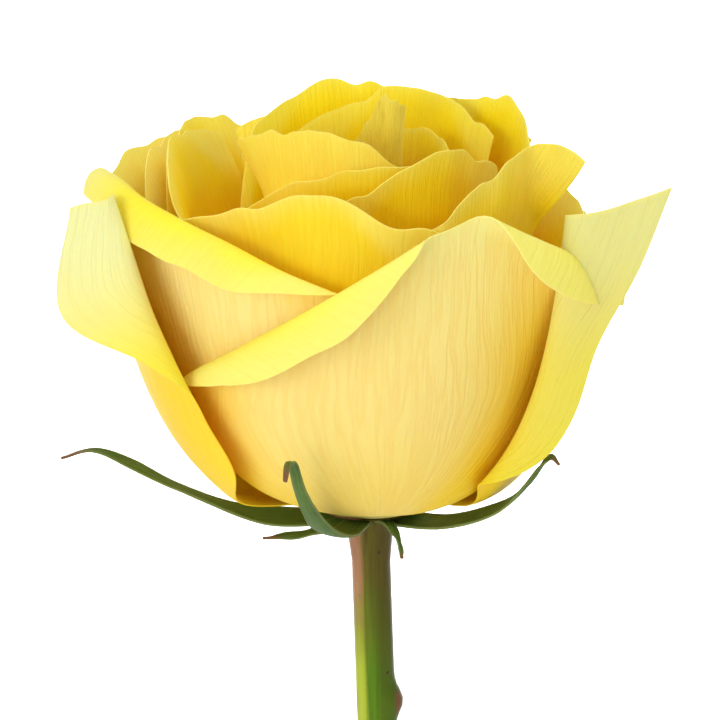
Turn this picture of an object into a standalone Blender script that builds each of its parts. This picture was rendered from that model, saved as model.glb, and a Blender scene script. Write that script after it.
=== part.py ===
"""A cut yellow rose standing in a plain clear bud vase of water.

Metres, +Z up. The origin is the centre of the vase's underside, and -Y is the front.
The bloom is worked out in millimetres in a frame of its own, which is set on the stem at the end.
"""
from dataclasses import dataclass
from math import cos, pi, radians, sin

import bmesh
import bpy
import numpy as np

MM = 0.001
GAP = 0.0003                    # between two pieces that meet

# Vase
VASE_HEIGHT = 0.180
VASE_FOOT_RADIUS = 0.026
VASE_BELLY_RADIUS = 0.031
VASE_BELLY_HEIGHT = 0.042
VASE_NECK_RADIUS = 0.0106
VASE_NECK_HEIGHT = 0.148
VASE_LIP_RADIUS = 0.0140
VASE_WALL = 0.0026
VASE_FLOOR = 0.013              # thickness of the heavy foot
VASE_CORNER = 0.008             # the round between its inner wall and floor
VASE_EDGE = 0.0008              # the small rounds at its foot and brim
VASE_SIDES = 32
WATER_HEIGHT = 0.118            # the water's surface above the table
STEM_ROOM = 1.2 * GAP           # between the stem and the water round it

# Stem
STEM_RADIUS = 0.0031
STEM_SIDES = 12
BLOOM_HEIGHT = 0.256            # the foot of the bloom above the table
STEM_HEIGHTS = (0.05, 0.09, 0.13, 0.16, 0.178)
STEM_TOP = ((-16, 2.95), (-7, 3.1), (-2.5, 3.6))        # height under the bloom's foot and radius, in mm
SCARS = ((0.186, 200), (0.226, 0))      # each leaf scar's height and the way it looks, from the right
SCAR_HEIGHTS = (-0.004, -0.002, 0, 0.002, 0.004)
SCAR_OUT = 0.0013
SCAR_TALL = 0.0024

# Bloom, in mm
GIRTH = 34.0                    # radius that steers the outermost petal's belly
SAG = 2.3                       # how far a petal first dips below its foot
CONE_RADIUS = 8.0               # radius of the cone that the petals' feet stand on
SUNK = 1.0                      # how far the receptacle reaches out past the feet
FOOT_RADIUS = (0.9, 6.6)        # radius of the innermost petal's foot, and what full girth adds to it
LOW_SHARE = 0.69                # share of its girth where a petal's line dips lowest
BELLY_HEIGHT = (12, 10)         # height of the outermost petal's belly, and what the innermost adds to it
FOOT_LOW = 2.6                  # height of the outermost petal's foot
FOOT_STEP = 1.6                 # rise of the receptacle's cone for each mm inwards
HIP_RINGS = ((2.9, -5), (3.3, -1.5), (3.7, -0.2), (4.7, 0.5), (6.2, 1.0), (7.6, 1.5))    # radius and height
RECEPTACLE_RINGS = ((7.6, 1.8), (8.9, 2.3))     # its underside, as radius and height
HIP_SIDES = 20
PETAL_THICK = 0.6
CURLED_GRID = (12, 12)          # columns and rows of a petal with a curled edge
PLAIN_GRID = (8, 8)
SEPAL_GRID = (14, 4)            # rows and columns of points
SEPAL_THICK = 0.9
SEPAL_KEEL = 0.12               # how far its edges lift, as a share of its width


@dataclass(frozen=True)
class Curl:
    """A straight crease across the flat petal, past which it rolls outwards."""

    at: tuple                   # a point on the crease: across and up the flat petal, mm
    towards: float              # the way the crease is crossed: 0 to the petal's right, 90 to its rim
    radius: float
    angle: float


@dataclass(frozen=True)
class Petal:
    """One petal. Lengths are in mm and angles in degrees, seen from outside with its rim up."""

    name: str
    faces: float                # where its back looks: 0 to the front, 90 to the right
    girth: float                # share of the bloom's girth
    top: tuple                  # radius and height where the middle of its rim stands
    wide: float                 # half its width
    rim: tuple                  # length from foot to rim, at even steps from left to right
    left: tuple = (1, 1)        # share of the half width, at even steps from foot to rim
    right: tuple = (1, 1)
    full: float = 0.62          # share of the height where it is at its widest
    claw: float = 0.12          # share of the width left at its foot
    wrap: tuple = (1, 1)        # how closely its left and right halves follow the bloom's round
    skew: float = 0             # how far its right edge stands out, and its left edge in
    droop: float = 0            # how far both edges hang
    shift: tuple = (0, 0)       # how far its rim leans right and back
    curls: tuple = ()
    fold: str = ""              # top, left or right: the side where it curls


# From the heart outwards
PETALS = (
    Petal("petal_heart_front", -25, 0.10, (4, 66), 4.5, (46, 50, 55, 53), claw=0.3, shift=(2.5, 3)),
    Petal("petal_heart_back", 165, 0.20, (8, 62), 11, (46, 50, 46), claw=0.2, shift=(4, 2)),
    Petal("petal_heart_left", -42, 0.34, (13, 65), 17, (52, 54.5, 56.5, 55.5, 50), claw=0.15,
          wrap=(0.3, 1), shift=(-2, 1)),
    Petal("petal_inner_front", -5, 0.42, (16, 61), 21, (45.5, 51, 54.5, 54, 50), wrap=(0.4, 1)),
    Petal("petal_inner_back", 168, 0.46, (18, 64), 18, (56, 59, 61.5, 58, 54), shift=(1, 0)),
    Petal("petal_inner_front_right", 32, 0.51, (19, 62), 17, (51, 55, 59, 57, 53)),
    Petal("petal_inner_back_left", -164, 0.54, (22, 65), 20, (60, 61, 62, 63.5, 64.5, 62, 60, 55, 44)),
    Petal("petal_inner_right", 122, 0.59, (24, 63), 18, (53, 57, 61, 65, 63, 62.5, 60)),
    Petal("petal_third_front", -25, 0.75, (26.5, 58), 28, (54, 56, 57.5, 58, 60.5, 60.5, 57.5, 56, 53),
          left=(1, 0.72, 0.76, 0.9), wrap=(0.2, 1)),
    Petal("petal_third_back_left", -101, 0.692, (31, 59), 21.8, (60, 62.5, 61.5, 57, 46), skew=-3),
    Petal("petal_third_front_right", 40, 0.81, (28, 65), 13, (55, 60, 64, 68.5, 69.5),
          right=(1, 0.65, 0.65, 1.2), curls=(Curl((7.5, 64), 14, 2.0, 100),), fold="right"),
    Petal("petal_third_back", 172, 0.636, (27, 61), 25, (60, 63, 62.5, 60)),
    Petal("petal_third_left", -119, 0.75, (33, 57), 17.5, (63, 65, 64, 60, 46), skew=-3),
    Petal("petal_second_right", 97, 0.845, (31, 51.5), 23, (52, 56, 56.5, 58, 60)),
    Petal("petal_second_left", -120, 0.806, (36, 55), 22.5, (60, 64, 65, 60, 44), skew=-3),
    Petal("petal_second_back_right", 140, 0.912, (34, 58), 28, (46, 56, 64, 62)),
    Petal("petal_second_front_left", -48, 0.852, (33.3, 54), 31, (72, 72, 71, 67.5, 62.5, 53, 44),
          wrap=(0.8, 1), left=(1, 1, 1.07, 1.25), skew=-5, droop=6, curls=(Curl((0, 57.3), 72, 1.3, 165),), fold="top"),
    Petal("petal_second_back_left", -141, 0.96, (39.5, 53), 28, (58, 66, 68, 65)),
    Petal("petal_outer_front", 6, 0.924, (33, 54), 38, (42, 49, 54.5, 58.5, 60.5, 61.5, 66, 65, 57),
          left=(0.85, 1.05, 1.14, 1.05, 0.92), right=(0.85, 1.0, 1.1, 1.02, 1.0), wrap=(1, 0.7),
          curls=(Curl((-18, 44.9), 121.5, 1.4, 165), Curl((20, 58), 66, 2.1, 155)), fold="top"),
    Petal("petal_outer_right", 95, 0.982, (37.2, 55), 36, (71, 63, 57, 58, 54), full=0.45,
          left=(0.85, 0.9, 0.95, 1.07, 1.05, 1.2, 1.33),
          curls=(Curl((-28.5, 46), 180, 2.0, 128),), fold="left"),
    Petal("petal_outer_back", 178, 1.044, (41.5, 54), 34, (60, 70, 74, 70, 60),
          curls=(Curl((0, 63), 96, 2.2, 130),), fold="top"),
    Petal("petal_outer_left", -100, 1.06, (44, 53), 33, (56, 64, 66, 68, 72), full=0.5,
          skew=-5.5, right=(0.7, 0.86, 0.98, 0.95, 1.06, 1.2, 0.9),
          curls=(Curl((27, 46), 14, 1.8, 105),), fold="right"),
)


@dataclass(frozen=True)
class Sepal:
    """One green sepal or lobe: its rib through points in the bloom's frame, and half its width, in mm."""

    rib: tuple
    half_width: float


SEPALS = (
    Sepal(((-2, 0, 0.9), (-12, -1, 0.6), (-20, -1.5, 1.6), (-30, -2, 5.7), (-37, -2, 9.2), (-43, -2, 11.4),
           (-48, -2, 10)), 3.0),
    Sepal(((-1, -2, 0.7), (-4, -14, 1.4), (-7, -22, 4.2), (-9, -29, 9), (-10.5, -32.5, 13.5), (-11.5, -35, 18),
           (-12.2, -38, 18.6), (-12.6, -39.5, 16.6)), 3.2),
    Sepal(((2, -1, 0.6), (11.6, -6.7, 1.3), (19.6, -11.3, 4.8), (24.0, -13.9, 9.4), (26.2, -15.1, 12.8),
           (27.6, -15.9, 14.0), (28.8, -16.5, 12.9)), 2.9),
    Sepal(((1, 2, 0.8), (8, 10, 1.0), (15, 18.5, 4.0), (21, 26, 9.6), (24.5, 30.5, 16), (27, 33.5, 17.4),
           (29, 35, 15)), 3.0),
    Sepal(((-1, 2, 0.7), (-8, 11, 0.6), (-17, 21, 2.8), (-25, 28.5, 7.4), (-31.5, 32, 14), (-37.5, 31, 21),
           (-41.2, 29.5, 23.8), (-42.6, 29, 22.4), (-41.6, 29, 20.2)), 3.0),
    Sepal(((-2, -3.5, 0.9), (-6, -6.6, 0.4), (-11, -9.0, -0.2), (-16.5, -10, -0.6)), 2.6),
    Sepal(((1, -3, 0.9), (3, -6, 0.5), (4.4, -8, -1.4), (5.0, -8.4, -4.4)), 1.3),
)


# Curves

def bezier(points, count=81):
    """Points along a cubic curve through four control points."""
    f = np.linspace(0, 1, count)[:, None]
    a, b, c, d = (np.array(p, float) for p in points)
    return (1 - f) ** 3 * a + 3 * (1 - f) ** 2 * f * b + 3 * (1 - f) * f**2 * c + f**3 * d


def ease(x):
    """A soft step from 0 to 1."""
    x = np.clip(x, 0, 1)
    return x * x * (3 - 2 * x)


def smooth(values, u):
    """A smooth curve through values spread evenly over u from -1 to 1."""
    last = len(values) - 1
    p = np.array(values, float)
    p = np.concatenate([2 * p[:1] - p[1:2], p, 2 * p[-1:] - p[-2:-1]])
    x = np.clip((u + 1) / 2 * last, 0, last)
    i = np.minimum(x.astype(int), last - 1)
    f = (x - i).reshape(x.shape + (1,) * (p.ndim - 1))
    a, b, c, d = p[i], p[i + 1], p[i + 2], p[i + 3]
    return b + 0.5 * f * (c - a + f * (2 * a - 5 * b + 4 * c - d + f * (3 * (b - c) + d - a)))


# Petals, as functions from the flat petal's (s, t) in mm to a point of the bloom

def cone_height(radius):
    """The height at which a petal whose foot is at the radius starts."""
    return FOOT_LOW + FOOT_STEP * (CONE_RADIUS - radius)


def petal_line(petal):
    """The petal's middle from foot to rim, as radius and height."""
    q = petal.girth
    foot_radius = FOOT_RADIUS[0] + FOOT_RADIUS[1] * q
    foot = cone_height(foot_radius)
    low = (LOW_SHARE * GIRTH * q, foot - SAG)
    belly = (GIRTH * q, max(BELLY_HEIGHT[0] + BELLY_HEIGHT[1] * (1 - q), foot + 3))
    return bezier(((foot_radius, foot), low, belly, petal.top))


def cup(petal):
    """The petal before its edges curl."""
    line = petal_line(petal)
    along = np.concatenate([[0], np.cumsum(np.linalg.norm(np.diff(line, axis=0), axis=1))])
    length = along[-1]
    slope = (line[-1] - line[-2]) / np.linalg.norm(line[-1] - line[-2])
    facing = np.radians(petal.faces)

    def surface(s, t):
        grown = ease(t / length)
        over = np.maximum(t - length, 0)
        r = np.interp(t, along, line[:, 0]) + over * slope[0]
        z = np.interp(t, along, line[:, 1]) + over * slope[1]
        u = s / petal.wide
        loose = ease(2 * t / length - 1)
        rightness = 0.5 + 0.5 * np.tanh(3 * u)
        wrap = petal.wrap[0] * (1 - rightness) + petal.wrap[1] * rightness
        bend = (1 + (wrap - 1) * loose) / np.maximum(r, 3)
        across = np.sin(bend * s) / bend
        out = r - (1 - np.cos(bend * s)) / bend + grown * petal.skew * u
        x = out * np.sin(facing) + across * np.cos(facing) + petal.shift[0] * grown
        y = -out * np.cos(facing) + across * np.sin(facing) + petal.shift[1] * grown
        return np.stack([x, y, z - petal.droop * u * u * loose], axis=-1)

    return surface


def unit(vectors):
    """The vectors at length 1."""
    return vectors / np.linalg.norm(vectors, axis=-1, keepdims=True)


def roll(radius, turn):
    """How far on and how far out a rolled edge goes with its length past the crease."""
    reach = np.linspace(0, 60, 1201)
    angle = turn * np.tanh((reach / (radius * turn)) ** 1.3)
    middle = (angle[1:] + angle[:-1]) / 2
    step = reach[1]
    outs = np.concatenate([[0], np.cumsum(np.cos(middle) * step)])
    lifts = np.concatenate([[0], np.cumsum(np.sin(middle) * step)])
    return reach, outs, lifts


def curled(surface, curl, step=0.05):
    """The surface with all that lies past one crease rolled outwards round it."""
    way = np.radians(curl.towards)
    nx, ny = np.cos(way), np.sin(way)
    reach, outs, lifts = roll(curl.radius, np.radians(curl.angle))

    def rolled(s, t):
        past = np.maximum((s - curl.at[0]) * nx + (t - curl.at[1]) * ny, 0)
        s, t = s - past * nx, t - past * ny
        ahead = unit(surface(s + step * nx, t + step * ny) - surface(s - step * nx, t - step * ny))
        beside = surface(s - step * ny, t + step * nx) - surface(s + step * ny, t - step * nx)
        inward = unit(np.cross(beside, ahead))
        out = np.interp(past, reach, outs)
        lift = np.interp(past, reach, lifts)
        return surface(s, t) + ahead * out[..., None] - inward * lift[..., None]

    return rolled


def half_width(petal, u, v):
    """The flat petal's half width at a share v of its height, on the side of u."""
    swell = petal.claw + (1 - petal.claw) * np.sin(np.pi / 2 * np.clip(v / petal.full, 0, 1)) ** 1.8
    return petal.wide * swell * np.where(u < 0, smooth(petal.left, 2 * v - 1), smooth(petal.right, 2 * v - 1))


def gathered(x, crease, share):
    """Steps x from 0 to 1, with the share of them that lies past the crease drawn close to it."""
    before = x / (1 - share) * crease
    beyond = crease + (1 - crease) * (np.maximum(x - 1 + share, 0) / share) ** 1.3
    return np.where(x < 1 - share, before, beyond)


def top_crease(petal, u):
    """The share of the petal's height where it starts to roll."""
    s = u * petal.wide
    lines = [c.at[1] - (s - c.at[0]) / np.tan(np.radians(c.towards)) for c in petal.curls]
    return np.clip(np.min(lines, axis=0) / smooth(petal.rim, u), 0.5, 0.93)


def side_crease(petal, v):
    """The share of the petal's half width where it starts to roll."""
    side = -1 if petal.fold == "left" else 1
    curl = petal.curls[0]
    s = curl.at[0] - (v * petal.rim[0 if side < 0 else -1] - curl.at[1]) * np.tan(np.radians(curl.towards))
    return np.clip(side * s / half_width(petal, side, v), 0.35, 0.9)


def petal_points(petal, columns, rows, share=0.4):
    """A grid of points on the petal's middle sheet, rows from foot to rim, in the bloom's frame."""
    u, v = np.meshgrid(np.linspace(-1, 1, columns + 1), np.linspace(0, 1, rows + 1))
    if petal.fold == "top":
        v = gathered(v, top_crease(petal, u), share)
    elif petal.fold:
        side = -1 if petal.fold == "left" else 1
        across = gathered((side * u + 1) / 2, (side_crease(petal, v) + 1) / 2, share)
        u = side * (2 * across - 1)
    surface = cup(petal)
    for curl in petal.curls:
        surface = curled(surface, curl)
    return surface(u * half_width(petal, u, v), v * smooth(petal.rim, u))


# Meshes

def material(name, colour, roughness, transmission=0.0, ior=1.45):
    """A plain material in one colour."""
    made = bpy.data.materials.new(name)
    made.use_nodes = True
    made.diffuse_color = (*colour, 1)
    shader = made.node_tree.nodes["Principled BSDF"]
    shader.inputs["Base Color"].default_value = (*colour, 1)
    shader.inputs["Roughness"].default_value = roughness
    shader.inputs["Metallic"].default_value = 0
    shader.inputs["Transmission Weight"].default_value = transmission
    shader.inputs["IOR"].default_value = ior
    return made


def placed(name, mesh, finish):
    """A new object of the mesh, shaded smooth."""
    thing = bpy.data.objects.new(name, mesh)
    bpy.context.collection.objects.link(thing)
    mesh.materials.append(finish)
    mesh.shade_smooth()
    mesh.set_sharp_from_angle(angle=radians(50))
    return thing


def turned(name, profile, sides):
    """The solid that a profile of radius and height makes as it turns round Z."""
    mesh = bpy.data.meshes.new(name)
    bm = bmesh.new()
    line = [bm.verts.new((r, 0, z)) for r, z in profile]
    edges = [bm.edges.new(pair) for pair in zip(line, line[1:])]
    bmesh.ops.spin(bm, geom=line + edges, axis=(0, 0, 1), angle=2 * pi, steps=sides, use_merge=True)
    bmesh.ops.remove_doubles(bm, verts=bm.verts, dist=1e-6)
    bmesh.ops.recalc_face_normals(bm, faces=bm.faces)
    bm.to_mesh(mesh)
    bm.free()
    return mesh


def sheet(name, points):
    """A sheet of triangles through a grid of points in mm, in rows, split alike on both faces."""
    rows, columns = points.shape[:2]
    corners = (points * MM).reshape(-1, 3)
    faces = []
    for row in range(rows - 1):
        for column in range(columns - 1):
            a = row * columns + column
            b, c, d = a + 1, a + columns + 1, a + columns
            short = np.linalg.norm(corners[a] - corners[c]) <= np.linalg.norm(corners[b] - corners[d])
            faces += [(a, b, c), (a, c, d)] if short else [(a, b, d), (b, c, d)]
    mesh = bpy.data.meshes.new(name)
    mesh.from_pydata(corners.tolist(), [], faces)
    return mesh


def thickened(thing, thickness):
    """The sheet made a closed leaf of even thickness about its middle."""
    solidify = thing.modifiers.new("thickness", "SOLIDIFY")
    solidify.thickness = thickness * MM
    solidify.offset = 0
    return thing


def applied(thing):
    """The object with its modifiers made part of its mesh."""
    graph = bpy.context.evaluated_depsgraph_get()
    mesh = bpy.data.meshes.new_from_object(thing.evaluated_get(graph))
    thing.modifiers.clear()
    thing.data = mesh
    return thing


def joined(thing, others):
    """The others fused into the thing, and removed."""
    group = bpy.data.collections.new("joined")
    for other in others:
        group.objects.link(other)
    union = thing.modifiers.new("union", "BOOLEAN")
    union.operation = "UNION"
    union.solver = "MANIFOLD"
    union.operand_type = "COLLECTION"
    union.collection = group
    applied(thing)
    for other in others:
        bpy.data.objects.remove(other)
    bpy.data.collections.remove(group)
    return thing


# Vase and water

def vase_radius(height):
    """The vase's outer radius at a height."""
    lower = bezier(((VASE_FOOT_RADIUS, 0), (0.0300, 0.012), (VASE_BELLY_RADIUS, 0.028),
                    (VASE_BELLY_RADIUS, VASE_BELLY_HEIGHT)))
    shoulder = bezier(((VASE_BELLY_RADIUS, VASE_BELLY_HEIGHT), (VASE_BELLY_RADIUS, 0.080),
                       (VASE_NECK_RADIUS, 0.088), (VASE_NECK_RADIUS, VASE_NECK_HEIGHT)))
    lip = bezier(((VASE_NECK_RADIUS, VASE_NECK_HEIGHT), (VASE_NECK_RADIUS, 0.164),
                  (0.0115, 0.174), (VASE_LIP_RADIUS, VASE_HEIGHT)))
    line = np.concatenate([lower, shoulder[1:], lip[1:]])
    return np.interp(height, line[:, 1], line[:, 0])


def hollow(gap, top, steps):
    """The vase's inside, less a gap, as radius and height from the top down to the middle of its floor."""
    floor = VASE_FLOOR + gap
    heights = np.linspace(top, floor + VASE_CORNER, steps)
    walls = [(vase_radius(z) - VASE_WALL - gap, z) for z in heights]
    turn = np.linspace(0, pi / 2, 4)[1:]
    side = walls[-1][0] - VASE_CORNER
    round_in = [(side + VASE_CORNER * cos(a), floor + VASE_CORNER * (1 - sin(a))) for a in turn]
    return walls + round_in + [(0, floor)]


def make_vase(finish):
    """The glass wall and its heavy foot, turned in one piece."""
    heights = np.linspace(0, VASE_HEIGHT, 19)[1:]
    foot = [(0, 0), (VASE_FOOT_RADIUS - VASE_EDGE, 0), (VASE_FOOT_RADIUS, VASE_EDGE)]
    outside = [(vase_radius(z), z) for z in heights]
    brim = [(VASE_LIP_RADIUS - VASE_WALL / 2, VASE_HEIGHT + VASE_EDGE)]
    profile = foot + outside + brim + hollow(0, VASE_HEIGHT, 17)
    return placed("vase", turned("vase", profile, VASE_SIDES), finish)


def make_water(finish):
    """The water, with the hole that the stem stands in."""
    profile = [(0, WATER_HEIGHT)] + hollow(GAP, WATER_HEIGHT, 11)
    water = placed("water", turned("water", profile, VASE_SIDES), finish)
    rings = [(VASE_FLOOR - 0.008, STEM_RADIUS + STEM_ROOM), (WATER_HEIGHT + 0.005, STEM_RADIUS + STEM_ROOM)]
    bore = placed("stem_hole", tube("stem_hole", rings), finish)
    bore.hide_render = True
    bore.display_type = "WIRE"
    cut = water.modifiers.new("stem_hole", "BOOLEAN")
    cut.operation = "DIFFERENCE"
    cut.object = bore
    return water


# Stem, hip and sepals

def stem_lean():
    """How far the stem leans left for each metre up, from the floor's middle to the neck's left side."""
    room = VASE_NECK_RADIUS - VASE_WALL - 1.5 * GAP - STEM_RADIUS
    return room / (VASE_NECK_HEIGHT - VASE_FLOOR)


def stem_x(height):
    """Where the stem's middle is at a height."""
    return -stem_lean() * (height - VASE_FLOOR)


def tube(name, rings):
    """A closed tube along the stem's line through rings of height and radius, with its leaf scars."""
    corners = []
    for height, radius in rings:
        for side in range(STEM_SIDES):
            angle = 2 * pi * side / STEM_SIDES
            out = radius + sum(scar_bulge(height - z, angle - radians(way)) for z, way in SCARS)
            corners.append((stem_x(height) + out * cos(angle), out * sin(angle), height))
    return lofted(name, corners, STEM_SIDES)


def scar_bulge(rise, turn):
    """How far a leaf scar stands out of the stem."""
    return SCAR_OUT * np.exp(-((rise / SCAR_TALL) ** 2)) * max(0, cos(turn)) ** 2


def lofted(name, corners, sides):
    """A closed solid through rings of corners."""
    count = len(corners) // sides
    faces = [tuple(range(sides - 1, -1, -1)), tuple(range((count - 1) * sides, count * sides))]
    for ring in range(count - 1):
        for side in range(sides):
            a, b = ring * sides + side, ring * sides + (side + 1) % sides
            faces.append((a, b, b + sides, a + sides))
    mesh = bpy.data.meshes.new(name)
    mesh.from_pydata(corners, [], faces)
    return mesh


def make_stem(finish, bloom):
    """The stem, with the hip at its top, as one grown piece."""
    heights = [VASE_FLOOR + GAP, *STEM_HEIGHTS] + [scar + step for scar, _ in SCARS for step in SCAR_HEIGHTS]
    rings = [(z, STEM_RADIUS) for z in sorted(heights)]
    rings += [(BLOOM_HEIGHT + z * MM, r * MM) for z, r in STEM_TOP]
    stem = placed("stem_and_sepals", tube("stem", rings), finish)
    blades = [make_sepal(sepal, number, finish, bloom) for number, sepal in enumerate(SEPALS)]
    return joined(stem, [make_hip(finish, bloom)] + blades)


def ringed(name, rings, bloom):
    """A closed solid through level rings of radius and height in the bloom's frame."""
    corners = []
    for radius, height in rings:
        for angle in np.linspace(0, 2 * pi, HIP_SIDES, endpoint=False):
            corners.append(bloom + np.array([radius * cos(angle), radius * sin(angle), height]) * MM)
    return lofted(name, corners, HIP_SIDES)


def make_hip(finish, bloom):
    """The swelling at the top of the stem that the bloom sits on."""
    return placed("hip", ringed("hip", HIP_RINGS, bloom), finish)


def make_sepal(sepal, number, finish, bloom):
    """A pointed green blade, a little keeled, with its root sunk in the hip."""
    rows, columns = SEPAL_GRID
    v, across = np.meshgrid(np.linspace(0, 1, rows), np.linspace(-1, 1, columns), indexing="ij")
    rib = np.array(sepal.rib, float)
    points = smooth(rib, 2 * v - 1)
    along = unit(smooth(rib, 2 * v - 0.98) - smooth(rib, 2 * v - 1.02))
    run = rib[-1] - rib[0]
    side = np.array([-run[1], run[0], 0]) / np.hypot(run[0], run[1])
    up = np.cross(along, side)
    taper = (1 - v) ** 0.8 * (0.75 + 0.25 * np.sin(np.pi * np.minimum(v / 0.4, 1)))
    width = sepal.half_width * (0.12 + 0.88 * taper)
    lift = SEPAL_KEEL * across**2 * width
    points = points + side * (across * width)[..., None] + up * lift[..., None]
    blade = placed(f"sepal_{number}", sheet(f"sepal_{number}", points + bloom / MM), finish)
    return applied(thickened(blade, SEPAL_THICK))


# Bloom

def make_petal(petal, finish, bloom):
    """A petal as a leaf of even thickness."""
    columns, rows = CURLED_GRID if petal.curls else PLAIN_GRID
    points = petal_points(petal, columns, rows)
    leaf = placed(petal.name, sheet(petal.name, points + bloom / MM), finish)
    return applied(thickened(leaf, PETAL_THICK))


def make_bloom(finish, bloom):
    """All the petals, fused at their feet to the receptacle that they grow from."""
    cone = tuple((r, cone_height(r - SUNK)) for r in (CONE_RADIUS + SUNK, 6.0, 3.5, 1.8))
    receptacle = placed("bloom", ringed("bloom", RECEPTACLE_RINGS + cone, bloom), finish)
    return joined(receptacle, [make_petal(petal, finish, bloom) for petal in PETALS])


def main():
    for thing in list(bpy.data.objects):
        bpy.data.objects.remove(thing)
    glass = material("vase", (0.93, 0.96, 0.95), 0.03, transmission=1, ior=1.5)
    water = material("water", (0.95, 0.98, 0.98), 0.02, transmission=1, ior=1.33)
    green = material("stem", (0.16, 0.27, 0.06), 0.45)
    yellow = material("petals", (0.90, 0.72, 0.16), 0.55)
    make_vase(glass)
    make_water(water)
    bloom = np.array([stem_x(BLOOM_HEIGHT), 0, BLOOM_HEIGHT])
    make_stem(green, bloom)
    make_bloom(yellow, bloom)


main()
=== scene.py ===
"""The looks of a cut yellow rose in a plain clear bud vase of water.

Metres, +Z up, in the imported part's frame. The bloom is worked out in millimetres in a frame of its own,
whose origin is its foot on the stem.
"""
from dataclasses import dataclass
from math import cos, pi, radians, sin

import bpy
import numpy as np
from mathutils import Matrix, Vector


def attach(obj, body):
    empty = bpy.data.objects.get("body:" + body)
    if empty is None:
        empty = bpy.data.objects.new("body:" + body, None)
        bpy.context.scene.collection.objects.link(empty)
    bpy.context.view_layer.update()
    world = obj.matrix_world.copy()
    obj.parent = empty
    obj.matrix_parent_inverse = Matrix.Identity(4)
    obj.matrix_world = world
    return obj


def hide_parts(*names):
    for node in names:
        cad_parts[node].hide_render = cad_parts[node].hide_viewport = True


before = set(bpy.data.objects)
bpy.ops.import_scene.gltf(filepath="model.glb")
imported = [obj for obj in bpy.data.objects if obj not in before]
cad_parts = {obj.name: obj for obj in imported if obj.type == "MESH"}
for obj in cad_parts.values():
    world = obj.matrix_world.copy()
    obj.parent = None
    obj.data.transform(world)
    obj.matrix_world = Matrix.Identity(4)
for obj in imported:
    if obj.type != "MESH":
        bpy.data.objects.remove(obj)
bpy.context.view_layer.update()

MM = 0.001
GAP = 0.0003                    # between two pieces that meet
SHARP = 60                      # degrees past which an edge between faces stays sharp
TINY = 1e-9                     # least length that a vector is divided by

# Vase and water, as in the part
VASE_HEIGHT = 0.180
VASE_FOOT_RADIUS = 0.026
VASE_BELLY_RADIUS = 0.031
VASE_BELLY_HEIGHT = 0.042
VASE_NECK_RADIUS = 0.0106
VASE_NECK_HEIGHT = 0.148
VASE_LIP_RADIUS = 0.0140
VASE_WALL = 0.0026
VASE_FLOOR = 0.013              # thickness of the heavy foot
VASE_CORNER = 0.008             # the round between its inner wall and floor
VASE_EDGE = 0.0008              # the small rounds at its foot and brim
WATER_HEIGHT = 0.118            # the water's surface above the table

# Stem, as in the part
STEM_RADIUS = 0.0031
BLOOM_HEIGHT = 0.256            # the foot of the bloom above the table
SCARS = ((0.186, 200), (0.226, 0))      # each leaf scar's height and the way it looks, from the right
SCAR_OUT = 0.0013
SCAR_TALL = 0.0024

# Bloom, in mm, as in the part
GIRTH = 34.0                    # radius that steers the outermost petal's belly
SAG = 2.3                       # how far a petal first dips below its foot
CONE_RADIUS = 8.0               # radius of the cone that the petals' feet stand on
SUNK = 1.0                      # how far the receptacle reaches out past the feet
CONE_RINGS = (CONE_RADIUS + SUNK, 6.0, 3.5, 1.8)   # radii of the rings it is built through
FOOT_RADIUS = (0.9, 6.6)        # radius of the innermost petal's foot, and what full girth adds to it
LOW_SHARE = 0.69                # share of its girth where a petal's line dips lowest
BELLY_HEIGHT = (12, 10)         # height of the outermost petal's belly, and what the innermost adds to it
BELLY_RISE = 3                  # least rise from a petal's foot to its belly
TIGHTEST = 3                    # least radius that a petal bends round
WRAP_CHANGE = 3                 # how quickly the wrap of its left half turns into that of its right half
SWELL = 1.8                     # how slowly a petal widens from its claw
ROLL_REACH = 60                 # longest edge that can roll
ROLL_STEPS = 1201
ROLL_EASE = 1.3                 # how softly an edge starts to roll
FOOT_LOW = 2.6                  # height of the outermost petal's foot
FOOT_STEP = 1.6                 # rise of the receptacle's cone for each mm inwards
RECEPTACLE_RINGS = ((7.6, 1.8), (8.9, 2.3))     # its underside, as radius and height
SEPAL_KEEL = 0.12               # how far its edges lift, as a share of its width

# The finer vase and water
VASE_SIDES = 144
OUTSIDE_STEPS = 90
INSIDE_STEPS = 80
WATER_STEPS = 60
CORNER_STEPS = 12
BRIM_STEPS = 10
FOOT_ROUND = ((0.0010, 0), (0.0004, 0.00015), (0, VASE_EDGE))   # distance in from the foot's radius, height
WATER_BITE = 0.0001             # how far the water reaches into the glass, so that no air shows between them
MENISCUS = 0.0011               # how high the water climbs up the glass
MENISCUS_FALL = 0.0012          # how far from the glass it has sunk to about a third of that
MENISCUS_STEPS = (0.0030, 0.0018, 0.0010, 0.0004)       # distances from the glass

# The finer stem and receptacle
STEM_SIDES = 64
STEM_STEPS = 200
STEM_RIBS = 5
RIB_DEPTH = 0.00004
RIB_SINK = 0.00005              # how much slimmer the ribbed stem is
RIB_TWIST = 18                  # radians for each metre up
# Height from the bloom's foot and radius, in mm
HIP = ((-7, 3.1), (-2.5, 3.6), (-0.5, 3.8), (0.5, 4.7), (1.0, 6.2), (1.5, 7.6), (1.6, 7.4))
HIP_START = -16                 # height where the even stem ends

# The finer sepals, in mm
SEPAL_GRID = (70, 15)           # rows and columns of points
SEPAL_WIDTH = (0.07, 0.93)      # share of its half width left at its tip, and what its widest place adds
SEPAL_THICK = (0.85, 0.45)      # at its rib, and how much less at its edges
SEPAL_THIN = 0.5                # how much thinner it is at its tip
SEPAL_WAVE = 0.25               # how far its edges undulate
SEPAL_HANG = 0.25               # how far a sepal that runs left or right tilts forwards

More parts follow.
